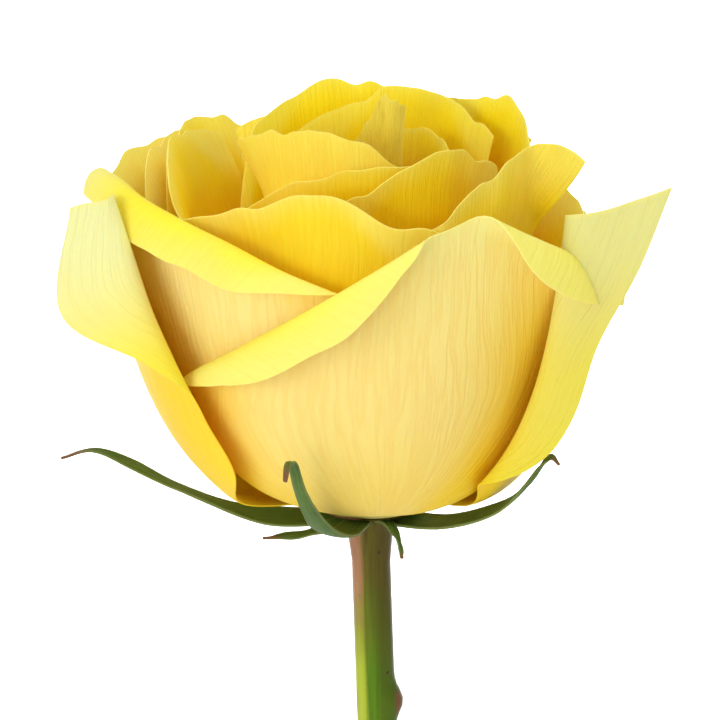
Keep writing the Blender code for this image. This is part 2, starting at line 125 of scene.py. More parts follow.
# The finer petals, in mm
PETAL_GRID = (76, 76)           # columns and rows
CREASE_SHARE = 0.4              # share of them that lies past a crease
CREASE_PULL = 1.3               # how close they are drawn to it
TOP_CREASE = (0.5, 0.93)        # lowest and highest share of a petal's height for its grid's crease
SIDE_CREASE = (0.35, 0.9)       # and of its half width
PETAL_THICK = 0.46              # at its middle
RIM_THICK = 0.22                # and at its rim
SEED = 5
BODY_WAVE = 0.22                # how far the petal's face undulates
# How far its rim undulates, and how far it turns out, in each ring
RUFFLE = {"heart": 0.3, "inner": 0.6, "third": 0.85, "second": 0.7, "outer": 0.6}
FLARE = {"heart": 0.6, "inner": 1.2, "third": 1.8, "second": 2.0, "outer": 1.5}

# Petal colours from foot to rim, as shares of its height with the colours there
PEACH = ((0.0, (254, 210, 70)), (0.25, (254, 216, 106)), (0.6, (254, 224, 134)), (0.82, (250, 228, 138)),
         (1.0, (240, 232, 146)))
# The outer face's and then the inner's, for each ring and for two petals with colours of their own; the right
# outer petal's are darker, painted shade
PETAL_COLOURS = {
    "outer": (
        PEACH,
        ((0.0, (254, 214, 0)), (0.4, (254, 224, 0)), (0.72, (250, 230, 44)), (1.0, (242, 234, 116))),
    ),
    "second": (
        ((0.0, (254, 206, 10)), (0.35, (254, 224, 110)), (0.7, (254, 234, 146)), (1.0, (254, 234, 126))),
        ((0.0, (254, 214, 0)), (0.5, (254, 224, 0)), (0.85, (253, 232, 36)), (1.0, (250, 236, 110))),
    ),
    "third": (
        ((0.0, (248, 200, 0)), (0.7, (248, 208, 0)), (0.9, (246, 216, 40)), (1.0, (246, 226, 96))),
        ((0.0, (254, 200, 0)), (0.72, (254, 210, 0)), (0.93, (252, 222, 8)), (1.0, (250, 230, 80))),
    ),
    "inner": (
        ((0.0, (246, 194, 0)), (0.7, (246, 204, 0)), (0.9, (244, 214, 20)), (1.0, (244, 224, 80))),
        ((0.0, (244, 178, 0)), (0.75, (246, 198, 0)), (0.93, (246, 216, 0)), (1.0, (246, 226, 62))),
    ),
    "heart": (
        ((0.0, (246, 194, 0)), (0.6, (250, 212, 36)), (0.85, (252, 222, 76)), (1.0, (252, 230, 90))),
        ((0.0, (234, 162, 0)), (0.75, (240, 188, 0)), (0.94, (242, 212, 6)), (1.0, (242, 224, 70))),
    ),
    "petal_outer_left": (
        PEACH,
        ((0.0, (254, 214, 0)), (0.22, (252, 220, 70)), (0.45, (252, 226, 50)), (0.7, (246, 228, 72)),
         (1.0, (228, 230, 166))),
    ),
    # The right outer petal: darker and duller, painted shade of the bloom's side away from the light
    "petal_outer_right": (
        ((0.0, (240, 200, 40)), (0.4, (236, 208, 90)), (1.0, (232, 214, 110))),
        ((0.0, (240, 200, 0)), (0.3, (226, 202, 30)), (0.65, (220, 208, 84)), (1.0, (214, 212, 140))),
    ),
}
# Gold of the petals' lower sides, partly their own colour and partly painted golden shade of the gaps between
# petals
GOLD_AND_SHADE = (253, 207, 0)
BLUSH = (252, 198, 96)
VEIN_AMBER = (240, 166, 20)
RIM_PALE = (250, 232, 120)
SIDE_MIDDLE = 0.45              # where across a petal its sides are counted from, left of its middle
SIDE_BAND = (0.12, 0.36)        # how far from there they start, and where they are full
SIDE_GOLD_AND_SHADE = 0.9                 # how gold the outermost petals' lower sides are: partly their own deeper colour, partly painted golden shade of the gaps
SIDE_GOLD_AND_SHADE_WITHIN = 0.2          # and the petals within
SIDE_PALE = 0.08                # how much nearer to its rim's colour a petal is along its sides
GOLD_AND_SHADE_BAND = (0.95, 0.55)        # heights from which and down to which the sides turn gold, with their painted shade
BLUSH_BAND = (0.5, 0.72)        # strength of the noise where a petal starts to blush, and blushes fully
RIM_BAND = (0.965, 0.985)       # heights where the pale rim starts and is full
BLUSH_SHARE = 0.16
VEIN_SHARE = 0.14
FINE_VEIN_SHARE = 0.06
VEIN_LOSS = 0.7                 # how much fainter the veins are on the inner face
RIM_SHARE = 0.35
PETAL_PATCHES = 55.0            # patches of noise for each metre
PETAL_GRAIN = 2600.0
VEIN_SWAY = 0.03                # how far the patches sway the veins across a petal
COLOUR_SWAY = 0.06              # and its colours up and down

# Stem, sepal and receptacle colours; where there are two, soft noise runs from the first to the second
STEM_MIDDLE = ((44, 86, 0), (104, 140, 0))
# The right side's darker greens are painted shade, the left side's paler ones painted light
STEM_SHADED_RIGHT = ((52, 80, 0), (88, 110, 10))
STEM_LIT_LEFT = ((150, 168, 24), (190, 198, 66))
STEM_BROWN = ((70, 48, 4), (104, 84, 16))
STEM_PINK = ((140, 84, 56), (192, 142, 104))
BROWN_BAND = (BLOOM_HEIGHT - 0.030, BLOOM_HEIGHT - 0.006)       # heights where it starts and is full
PINK_BAND = (BLOOM_HEIGHT - 0.019, BLOOM_HEIGHT - 0.011)
FLUSH = 0.85                    # how strong both are
SHADED_RIGHT_BAND = (0.0002, 0.0012)   # how far right of its middle its darker side, painted shade, starts and is full
LIT_LEFT_BAND = (-0.0010, -0.0020)  # and its paler left side, painted light
STEM_STREAKS = (1500, 1500, 60)     # for each metre, across and along
STEM_PATCHES = 120.0
STREAK_SWAY = 0.0012            # how far the streaks sway the bounds of its sides
PATCH_SWAY = 0.012              # and the patches those of its flush
SPECKS = 520.0                  # for each metre
SPECK_BROWN = (70, 40, 16)
SCAR_BROWN = (112, 78, 42)
SCAR_BAND = (0.0026, 0.0012)    # how far above and below a scar its brown starts and is full
SCAR_RISE = (-0.0004, 0.0002)   # and how far out from the even stem
SEPAL_GREEN = ((78, 112, 20), (40, 74, 8))
SEPAL_VEIN = (112, 136, 50)
SEPAL_EDGE = (134, 142, 70)
SEPAL_DRY = (124, 84, 44)
SEAT_GREEN = ((168, 168, 84), (196, 184, 92))

# Veins: how many cross a leaf, how many follow each other up it, their place in the noise, their sharpness
PETAL_VEINS = (46.0, 3.4, 0.0, 9.0)
FINE_VEINS = (130.0, 9.0, 4.0, 4.5)
SEPAL_VEINS = (9.0, 2.0, 0.0, 5.0)

# Camera
TARGET = (-0.00956, 0.0, 0.2812)
CAMERA_DISTANCE = 0.7
CAMERA_ELEVATION = 14
CAMERA_LENS = 225.8

# Each light's name, place, size and power, and for the paper's also its aim and its spread in degrees
LIGHTS = (
    ("key", (-1.3, -1.3, 0.8), 1.0, 9.0),
    ("front", (-0.7, -1.8, 0.5), 0.5, 6.0),
    ("above", (0.25, -0.1, 1.8), 1.2, 8.5),
    ("paper_light", (0.0, 0.5, 1.8), 1.0, 30.0, (0.0, 2.0, 0.0), 80),
)
SKY = 0.68                      # strength of the even light from all round
DIFFUSE_BOUNCES = 12            # for the deep gaps between petals
TRANSMISSION_BOUNCES = 16       # for the glass and the water
MAX_BOUNCES = 24

# The sheet of paper
PAPER_FRONT = -3.0
PAPER_BACK = 3.2                # where it starts to curve up
PAPER_BEND = 1.0
PAPER_TOP = 3.0
PAPER_HALF = 4.0                # half its width
PAPER_STEPS = 24


@dataclass(frozen=True)
class Curl:
    """A straight crease across the flat petal, past which it rolls outwards."""

    at: tuple                   # a point on the crease: across and up the flat petal, mm
    towards: float              # the way the crease is crossed: 0 to the petal's right, 90 to its rim
    radius: float
    angle: float


@dataclass(frozen=True)
class Petal:
    """One petal. Lengths are in mm and angles in degrees, seen from outside with its rim up."""

    name: str
    faces: float                # where its back looks: 0 to the front, 90 to the right
    girth: float                # share of the bloom's girth
    top: tuple                  # radius and height where the middle of its rim stands
    wide: float                 # half its width
    rim: tuple                  # length from foot to rim, at even steps from left to right
    left: tuple = (1, 1)        # share of the half width, at even steps from foot to rim
    right: tuple = (1, 1)
    full: float = 0.62          # share of the height where it is at its widest
    claw: float = 0.12          # share of the width left at its foot
    wrap: tuple = (1, 1)        # how closely its left and right halves follow the bloom's round
    skew: float = 0             # how far its right edge stands out, and its left edge in
    droop: float = 0            # how far both edges hang
    shift: tuple = (0, 0)       # how far its rim leans right and back
    curls: tuple = ()
    fold: str = ""              # top, left or right: the side where it curls


# From the heart outwards
PETALS = (
    Petal("petal_heart_front", -25, 0.10, (4, 66), 4.5, (46, 50, 55, 53), claw=0.3, shift=(2.5, 3)),
    Petal("petal_heart_back", 165, 0.20, (8, 62), 11, (46, 50, 46), claw=0.2, shift=(4, 2)),
    Petal("petal_heart_left", -42, 0.34, (13, 65), 17, (52, 54.5, 56.5, 55.5, 50), claw=0.15,
          wrap=(0.3, 1), shift=(-2, 1)),
    Petal("petal_inner_front", -5, 0.42, (16, 61), 21, (45.5, 51, 54.5, 54, 50), wrap=(0.4, 1)),
    Petal("petal_inner_back", 168, 0.46, (18, 64), 18, (56, 59, 61.5, 58, 54), shift=(1, 0)),
    Petal("petal_inner_front_right", 32, 0.51, (19, 62), 17, (51, 55, 59, 57, 53)),
    Petal("petal_inner_back_left", -164, 0.54, (22, 65), 20, (60, 61, 62, 63.5, 64.5, 62, 60, 55, 44)),
    Petal("petal_inner_right", 122, 0.59, (24, 63), 18, (53, 57, 61, 65, 63, 62.5, 60)),
    Petal("petal_third_front", -25, 0.75, (26.5, 58), 28, (54, 56, 57.5, 58, 60.5, 60.5, 57.5, 56, 53),
          left=(1, 0.72, 0.76, 0.9), wrap=(0.2, 1)),
    Petal("petal_third_back_left", -101, 0.692, (31, 59), 21.8, (60, 62.5, 61.5, 57, 46), skew=-3),
    Petal("petal_third_front_right", 40, 0.81, (28, 65), 13, (55, 60, 64, 68.5, 69.5),
          right=(1, 0.65, 0.65, 1.45), curls=(Curl((7.5, 64), 14, 2.0, 100),), fold="right"),
    Petal("petal_third_back", 172, 0.636, (27, 61), 25, (60, 63, 62.5, 60)),
    Petal("petal_third_left", -119, 0.75, (33, 57), 17.5, (63, 65, 64, 60, 46), skew=-3),
    Petal("petal_second_right", 97, 0.845, (31, 51.5), 23, (52, 56, 56.5, 58, 60)),
    Petal("petal_second_left", -120, 0.806, (36, 55), 22.5, (60, 64, 65, 60, 44), skew=-3),
    Petal("petal_second_back_right", 140, 0.912, (34, 58), 28, (46, 56, 64, 62)),
    Petal("petal_second_front_left", -48, 0.852, (33.3, 54), 31, (72, 72, 71, 67.5, 62.5, 53, 44),
          left=(1, 1, 1.07, 1.25), wrap=(0.8, 1), skew=-5, droop=6,
          curls=(Curl((0, 57.3), 72, 1.3, 165),), fold="top"),
    Petal("petal_second_back_left", -141, 0.96, (39.5, 53), 28, (58, 66, 68, 65)),
    Petal("petal_outer_front", 6, 0.924, (33, 54), 38, (41, 51, 57, 60.5, 62, 62, 68, 68, 62),
          left=(0.85, 1.05, 1.14, 1.05, 0.92), right=(0.85, 1.0, 1.1, 1.0, 1.02), wrap=(1, 0.6),
          curls=(Curl((-18, 44.9), 121.5, 1.4, 165), Curl((20, 58), 66, 2.4, 155)), fold="top"),
    Petal("petal_outer_right", 95, 0.982, (37.2, 55), 36, (69.5, 63, 57, 58, 54), full=0.45,
          left=(0.85, 0.86, 0.88, 0.96, 1.0, 1.14, 1.26),
          curls=(Curl((-25.5, 46), 184, 2.0, 128),), fold="left"),
    Petal("petal_outer_back", 178, 1.044, (41.5, 54), 34, (60, 70, 74, 70, 60),
          curls=(Curl((0, 63), 96, 2.2, 130),), fold="top"),
    Petal("petal_outer_left", -100, 1.06, (44, 53), 33, (56, 64, 66, 68, 72), full=0.5,
          right=(0.7, 0.87, 1.01, 0.9, 1.01, 1.2, 0.9), skew=-5.5,
          curls=(Curl((27, 46), 14, 1.8, 105),), fold="right"),
)


@dataclass(frozen=True)
class Sepal:
    """One green sepal or lobe: its rib through points in the bloom's frame, and half its width, in mm."""

    rib: tuple
    half_width: float


SEPALS = (
    Sepal(((-2, 0, 0.9), (-12, -1, 0.6), (-20, -1.5, 1.6), (-30, -2, 5.7), (-37, -2, 9.2), (-43, -2, 11.4),
           (-48, -2, 10)), 3.0),
    Sepal(((-1, -2, 0.7), (-4, -14, 1.4), (-7, -22, 4.2), (-9, -29, 9), (-10.5, -32.5, 13.5),
           (-11.5, -35, 18), (-12.2, -38, 18.6), (-12.6, -39.5, 16.6)), 2.5),
    Sepal(((2, -1, 0.6), (11.6, -6.7, 1.3), (19.6, -11.3, 4.8), (24.0, -13.9, 9.4), (26.2, -15.1, 12.8),
           (27.6, -15.9, 14.0), (28.8, -16.5, 12.9)), 2.9),
    Sepal(((1, 2, 0.8), (8, 10, 1.0), (15, 18.5, 4.0), (21, 26, 9.6), (24.5, 30.5, 16), (27, 33.5, 17.4),
           (29, 35, 15)), 3.0),
    Sepal(((-1, 2, 0.7), (-8, 11, 0.6), (-17, 21, 2.8), (-25, 28.5, 7.4), (-31.5, 32, 14), (-37.5, 31, 21),
           (-41.2, 29.5, 23.8), (-42.6, 29, 22.4), (-41.6, 29, 20.2)), 3.0),
    Sepal(((-2, -3.5, 0.9), (-6, -6.6, 0.4), (-11, -9.0, -0.2), (-16.5, -10, -0.6)), 2.6),
    Sepal(((1, -3, 0.9), (3, -6, 0.5), (4.4, -8, -1.4), (5.0, -8.4, -4.4)), 1.3),
)


# Curves

def bezier(points, count=81):
    """Points along a cubic curve through four control points."""
    f = np.linspace(0, 1, count)[:, None]
    a, b, c, d = (np.array(p, float) for p in points)
    return (1 - f) ** 3 * a + 3 * (1 - f) ** 2 * f * b + 3 * (1 - f) * f**2 * c + f**3 * d


def ease(x):
    """A soft step from 0 to 1."""
    x = np.clip(x, 0, 1)
    return x * x * (3 - 2 * x)


def smooth(values, u):
    """A smooth curve through values spread evenly over u from -1 to 1."""
    last = len(values) - 1
    p = np.array(values, float)
    p = np.concatenate([2 * p[:1] - p[1:2], p, 2 * p[-1:] - p[-2:-1]])
    x = np.clip((u + 1) / 2 * last, 0, last)
    i = np.minimum(x.astype(int), last - 1)
    f = (x - i).reshape(x.shape + (1,) * (p.ndim - 1))
    a, b, c, d = p[i], p[i + 1], p[i + 2], p[i + 3]
    return b + 0.5 * f * (c - a + f * (2 * a - 5 * b + 4 * c - d + f * (3 * (b - c) + d - a)))


def unit(vectors):
    """The vectors at length 1."""
    return vectors / np.maximum(np.linalg.norm(vectors, axis=-1, keepdims=True), TINY)


def outward(points):
    """The way each point of a grid looks: outwards on a petal."""
    across = np.gradient(points, axis=1)
    up = np.gradient(points, axis=0)
    return unit(np.cross(across, up))


# Petals, as functions from the flat petal's (s, t) in mm to a point of the bloom

def cone_height(radius):
    """The height at which a petal whose foot is at the radius starts."""
    return FOOT_LOW + FOOT_STEP * (CONE_RADIUS - radius)


def petal_line(petal):
    """The petal's middle from foot to rim, as radius and height."""
    q = petal.girth
    foot_radius = FOOT_RADIUS[0] + FOOT_RADIUS[1] * q
    foot = cone_height(foot_radius)
    low = (LOW_SHARE * GIRTH * q, foot - SAG)
    belly = (GIRTH * q, max(BELLY_HEIGHT[0] + BELLY_HEIGHT[1] * (1 - q), foot + BELLY_RISE))
    return bezier(((foot_radius, foot), low, belly, petal.top))


def cup(petal):
    """The petal before its edges curl."""
    line = petal_line(petal)
    along = np.concatenate([[0], np.cumsum(np.linalg.norm(np.diff(line, axis=0), axis=1))])
    length = along[-1]
    slope = (line[-1] - line[-2]) / np.linalg.norm(line[-1] - line[-2])
    facing = np.radians(petal.faces)

    def surface(s, t):
        grown = ease(t / length)
        over = np.maximum(t - length, 0)
        r = np.interp(t, along, line[:, 0]) + over * slope[0]
        z = np.interp(t, along, line[:, 1]) + over * slope[1]
        u = s / petal.wide
        loose = ease(2 * t / length - 1)
        rightness = 0.5 + 0.5 * np.tanh(WRAP_CHANGE * u)
        wrap = petal.wrap[0] * (1 - rightness) + petal.wrap[1] * rightness
        bend = (1 + (wrap - 1) * loose) / np.maximum(r, TIGHTEST)
        across = np.sin(bend * s) / bend
        out = r - (1 - np.cos(bend * s)) / bend + grown * petal.skew * u
        x = out * np.sin(facing) + across * np.cos(facing) + petal.shift[0] * grown
        y = -out * np.cos(facing) + across * np.sin(facing) + petal.shift[1] * grown
        return np.stack([x, y, z - petal.droop * u * u * loose], axis=-1)

    return surface


def roll(radius, turn):
    """How far on and how far out a rolled edge goes with its length past the crease."""
    reach = np.linspace(0, ROLL_REACH, ROLL_STEPS)
    angle = turn * np.tanh((reach / (radius * turn)) ** ROLL_EASE)
    middle = (angle[1:] + angle[:-1]) / 2
    step = reach[1]
    outs = np.concatenate([[0], np.cumsum(np.cos(middle) * step)])
    lifts = np.concatenate([[0], np.cumsum(np.sin(middle) * step)])
    return reach, outs, lifts


def curled(surface, curl, step=0.05):
    """The surface with all that lies past one crease rolled outwards round it."""
    way = np.radians(curl.towards)
    nx, ny = np.cos(way), np.sin(way)
    reach, outs, lifts = roll(curl.radius, np.radians(curl.angle))

    def rolled(s, t):
        past = np.maximum((s - curl.at[0]) * nx + (t - curl.at[1]) * ny, 0)
        s, t = s - past * nx, t - past * ny
        ahead = unit(surface(s + step * nx, t + step * ny) - surface(s - step * nx, t - step * ny))
        beside = surface(s - step * ny, t + step * nx) - surface(s + step * ny, t - step * nx)
        inward = unit(np.cross(beside, ahead))
        out = np.interp(past, reach, outs)
        lift = np.interp(past, reach, lifts)
        return surface(s, t) + ahead * out[..., None] - inward * lift[..., None]

    return rolled


def half_width(petal, u, v):
    """The flat petal's half width at a share v of its height, on the side of u."""
    swell = petal.claw + (1 - petal.claw) * np.sin(np.pi / 2 * np.clip(v / petal.full, 0, 1)) ** SWELL
    return petal.wide * swell * np.where(u < 0, smooth(petal.left, 2 * v - 1), smooth(petal.right, 2 * v - 1))


def gathered(x, crease):
    """Steps x from 0 to 1, with those past the crease drawn close to it."""
    before = x / (1 - CREASE_SHARE) * crease
    beyond = crease + (1 - crease) * (np.maximum(x - 1 + CREASE_SHARE, 0) / CREASE_SHARE) ** CREASE_PULL
    return np.where(x < 1 - CREASE_SHARE, before, beyond)


def top_crease(petal, u):
    """The share of the petal's height where it starts to roll."""
    s = u * petal.wide
    lines = [c.at[1] - (s - c.at[0]) / np.tan(np.radians(c.towards)) for c in petal.curls]
    return np.clip(np.min(lines, axis=0) / smooth(petal.rim, u), *TOP_CREASE)


def side_crease(petal, v):
    """The share of the petal's half width where it starts to roll."""
    side = -1 if petal.fold == "left" else 1
    curl = petal.curls[0]
    s = curl.at[0] - (v * petal.rim[0 if side < 0 else -1] - curl.at[1]) * np.tan(np.radians(curl.towards))
    return np.clip(side * s / half_width(petal, side, v), *SIDE_CREASE)


def petal_grid(petal):
    """How far across (-1 to 1) and up (0 to 1) the petal each point of its grid is, rows from foot to rim."""
    columns, rows = PETAL_GRID
    u, v = np.meshgrid(np.linspace(-1, 1, columns + 1), np.linspace(0, 1, rows + 1))
    if petal.fold == "top":
        v = gathered(v, top_crease(petal, u))
    elif petal.fold:
        side = -1 if petal.fold == "left" else 1
        across = gathered((side * u + 1) / 2, (side_crease(petal, v) + 1) / 2)
        u = side * (2 * across - 1)
    return u, v


def ring_of(petal):
    """The ring that the petal belongs to, the second word of its name."""
    return petal.name.split("_")[1]


def uneven_rim(u, phases):
    """How much longer the petal is at its rim, as a share of its length."""
    slow = 0.006 * np.sin(5 * u + phases[0]) + 0.004 * np.sin(11 * u + phases[1])
    quick = 0.003 * np.sin(19 * u + phases[5]) * (1 + np.sin(6 * u + phases[6]))
    nicks = 0.0009 * np.sin(31 * u + phases[3]) * (1 + np.sin(7 * u + phases[4]))
    return slow + quick + nicks


def ruffles(petal, u, v, phases):
    """How far out the petal's face stands of its even form, in mm."""
    ring = ring_of(petal)
    near_rim = ease((v - 0.7) / 0.3)
    near_side = ease((np.abs(u) - 0.75) / 0.25) * ease(v / 0.5)
    rim = np.sin(4 * u + phases[2]) + 0.5 * np.sin(9 * u + 2 * v + phases[3])
    rim = rim + 0.15 * np.sin(17 * u + phases[4])
    sides = np.sin(9 * v + phases[5]) + 0.4 * np.sin(17 * v + phases[6])
    face = np.sin(3 * u + 5 * v + phases[7]) + 0.6 * np.sin(6 * u - 9 * v + phases[0])
    edges = 0.5 * near_rim * rim + 0.3 * near_side * sides
    out = BODY_WAVE * face * ease(v / 0.4) + RUFFLE[ring] * edges
    if not petal.curls:
        out = out + FLARE[ring] * np.clip((v - 0.84) / 0.16, 0, 1) ** 2
    return out


def wave_phases(petal, count=8):
    """Where the petal's waves start, by a chance of its own."""
    chance = np.random.default_rng(SEED + len(petal.name) + int(petal.faces) % 97)
    return chance.uniform(0, 2 * pi, count)


def petal_points(petal, u, v):
    """The points of the petal's middle sheet in the bloom's frame, ruffled and with a slightly uneven rim."""
    phases = wave_phases(petal)
    surface = cup(petal)
    for curl in petal.curls:
        surface = curled(surface, curl)
    up = v * (1 + uneven_rim(u, phases) * v**3) * smooth(petal.rim, u)
    points = surface(u * half_width(petal, u, v), up)
    return points + outward(points) * ruffles(petal, u, v, phases)[..., None]


# Meshes

def placed(name, mesh, finish, node):
    """Puts in a piece of the object that stands for a node of the part and rides with it."""
    thing = bpy.data.objects.new(name, mesh)
    bpy.context.collection.objects.link(thing)
    mesh.materials.append(finish)
    mesh.shade_smooth()
    mesh.set_sharp_from_angle(angle=radians(SHARP))
    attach(thing, "root")
    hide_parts(node)


def new_mesh(name, corners, faces):
    """A mesh of corners and faces."""
    mesh = bpy.data.meshes.new(name)
    mesh.from_pydata(corners, [], faces)
    return mesh


def leaf_faces(rows, columns):
    """The corners of a leaf's outer faces, of its inner faces and of those round its edge."""
    count = rows * columns
    index = np.arange(count).reshape(rows, columns)
    a, b, c, d = (x.ravel() for x in (index[:-1, :-1], index[:-1, 1:], index[1:, 1:], index[1:, :-1]))
    outer = np.stack([a, b, c, d], axis=1)
    inner = np.stack([d, c, b, a], axis=1) + count
    border = np.concatenate([index[0, :-1], index[:-1, -1], index[-1, :0:-1], index[:0:-1, 0]])
    ahead = np.roll(border, -1)
    edge = np.stack([ahead, border, border + count, ahead + count], axis=1)
    return outer, inner, edge


def leaf(name, points, thickness, u, v, margin=0.02):
    """A closed leaf about a grid of points in mm, its outer face left on its map and its inner face right."""
    step = outward(points) * thickness[..., None] / 2
    corners = np.concatenate([(points + step).reshape(-1, 3), (points - step).reshape(-1, 3)]) * MM
    outer, inner, edge = leaf_faces(*u.shape)
    mesh = new_mesh(name, corners.tolist(), np.concatenate([outer, inner, edge]).tolist())
    across = margin + (0.5 - 2 * margin) * (u.ravel() + 1) / 2
    up = margin + (1 - 2 * margin) * v.ravel()
    place = np.stack([across, up], axis=1)
    places = np.concatenate([place, place + (0.5, 0)])
    on_map = np.concatenate([outer, inner, edge % u.size])
    mesh.uv_layers.new(name="OFBake").data.foreach_set("uv", places[on_map.ravel()].ravel())
    return mesh


def ring_faces(count, sides):
    """The faces between rings of corners."""
    faces = []
    for ring in range(count - 1):
        for side in range(sides):
            a, b = ring * sides + side, ring * sides + (side + 1) % sides
            faces.append((a, b, b + sides, a + sides))
    return faces


def lofted(name, corners, sides):
    """A closed solid through rings of corners, from its lowest ring up."""
    count = len(corners) // sides
    ends = [tuple(range(sides - 1, -1, -1)), tuple(range((count - 1) * sides, count * sides))]
    return new_mesh(name, corners, ends + ring_faces(count, sides))


def turned(name, profile, sides):
    """The solid that a profile of radius and height makes as it turns round Z, up its outside from Z to Z."""
    angles = np.linspace(0, 2 * pi, sides, endpoint=False)
    corners = [(r * cos(a), r * sin(a), z) for r, z in profile[1:-1] for a in angles]
    start, last = len(corners), len(corners) - sides
    faces = ring_faces(len(profile) - 2, sides)
    for side in range(sides):
        ahead = (side + 1) % sides
        faces += [(start, ahead, side), (last + side, last + ahead, start + 1)]
    corners += [(0, 0, profile[0][1]), (0, 0, profile[-1][1])]
    return new_mesh(name, corners, faces)


# Building blocks of materials

def paint(red, green, blue):
    """A colour given as it looks on a screen, 0 to 255."""
    share = np.array([red, green, blue]) / 255
    linear = np.where(share <= 0.04045, share / 12.92, ((share + 0.055) / 1.055) ** 2.4)
    return (*(float(x) for x in linear), 1)


def new_finish(name, values):
    """A material and its main shader, with values set on the shader's sockets."""
    made = bpy.data.materials.new(name)
    made.use_nodes = True
    shader = made.node_tree.nodes["Principled BSDF"]
    for socket, value in values.items():
        shader.inputs[socket].default_value = value
    return made, shader


def add(made, kind, inputs=None, **settings):
    """A node of the material, with its settings and what goes into it."""
    node = made.node_tree.nodes.new("ShaderNode" + kind)
    for key, value in settings.items():
        setattr(node, key, value)
    for key, value in (inputs or {}).items():
        if isinstance(value, bpy.types.NodeSocket):
            made.node_tree.links.new(value, node.inputs[key])
        else:
            node.inputs[key].default_value = value
    return node


def feed(made, shader, inputs):
    """Leads what the nodes worked out into the shader's sockets."""
    for socket, value in inputs.items():
        made.node_tree.links.new(value, shader.inputs[socket])


def maths(made, operation, a, b=0.0, clamp=False):
    """The outcome of one operation on two numbers."""
    return add(made, "Math", {0: a, 1: b}, operation=operation, use_clamp=clamp).outputs[0]


def plus(made, a, b):
    """The sum of two numbers."""
    return maths(made, "ADD", a, b)


def minus(made, a, b):
    """The first number less the second."""
    return maths(made, "SUBTRACT", a, b)


def times(made, a, b):
    """The product of two numbers."""
    return maths(made, "MULTIPLY", a, b)


def away(made, value, middle):
    """How far a number is from a middle, to either side."""
    return maths(made, "ABSOLUTE", minus(made, value, middle))


def swing(made, value, width):
    """A number from 0 to 1 as a swing of a width about 0."""
    return times(made, minus(made, value, 0.5), width)


def step_between(made, value, low, high):
    """A soft step from 0 at low to 1 at high."""
    inputs = {"Value": value, "From Min": low, "From Max": high}
    return add(made, "MapRange", inputs, interpolation_type="SMOOTHSTEP").outputs["Result"]


def mixed(made, share, a, b):
    """Colour a with a share of colour b."""
    return add(made, "Mix", {0: share, 6: a, 7: b}, data_type="RGBA").outputs[2]


def tinted(made, base, share, colour):
    """The base colour with a share of a colour given as it looks on a screen."""
    return mixed(made, share, base, paint(*colour))


def two_tone(made, share, colours):
    """A colour between two given as they look on a screen."""
    return mixed(made, share, paint(*colours[0]), paint(*colours[1]))


def ramp(made, value, stops):
    """A colour that runs through stops of position and colour."""
    node = add(made, "ValToRGB", {"Fac": value})
    node.color_ramp.interpolation = "EASE"
    while len(node.color_ramp.elements) < len(stops):
        node.color_ramp.elements.new(0.5)
    for element, (position, colour) in zip(node.color_ramp.elements, stops):
        element.position = position
        element.color = paint(*colour)
    return node.outputs["Color"]


def here(made):
    """The point's place in its piece, in metres."""
    return add(made, "TexCoord").outputs["Object"]


def on_leaf(made):
    """Where a point lies on its leaf: across it and up it, from 0 to 1, and whether on its inner face."""
    split = add(made, "SeparateXYZ", {0: add(made, "UVMap", uv_map="OFBake").outputs["UV"]})
    across = maths(made, "FRACT", times(made, split.outputs["X"], 2.0))
    is_inner = maths(made, "GREATER_THAN", split.outputs["X"], 0.5)
    return across, split.outputs["Y"], is_inner


def noise(made, place, scale, detail=3.0, roughness=0.5):
    """Soft noise at a place."""
    inputs = {"Vector": place, "Scale": scale, "Detail": detail, "Roughness": roughness}
    return add(made, "TexNoise", inputs).outputs["Fac"]


def veined(made, across, up, veins):
    """Thin lines that run up a leaf, where noise passes its middle."""
    dense, often, start, sharpness = veins
    place = add(made, "CombineXYZ", {0: times(made, across, dense), 1: times(made, up, often), 2: start})
    off = away(made, noise(made, place.outputs[0], 1.0, 2.0), 0.5)
    return maths(made, "SUBTRACT", 1.0, times(made, off, sharpness), clamp=True)


def bumped(made, shader, layers):
    """The shader's surface with layers of relief, each as height and depth in metres."""
    normal = None
    for height, depth in layers:
        inputs = {"Height": height, "Distance": depth, "Strength": 1.0}
        if normal is not None:
            inputs["Normal"] = normal
        normal = add(made, "Bump", inputs).outputs["Normal"]
    feed(made, shader, {"Normal": normal})


# Materials

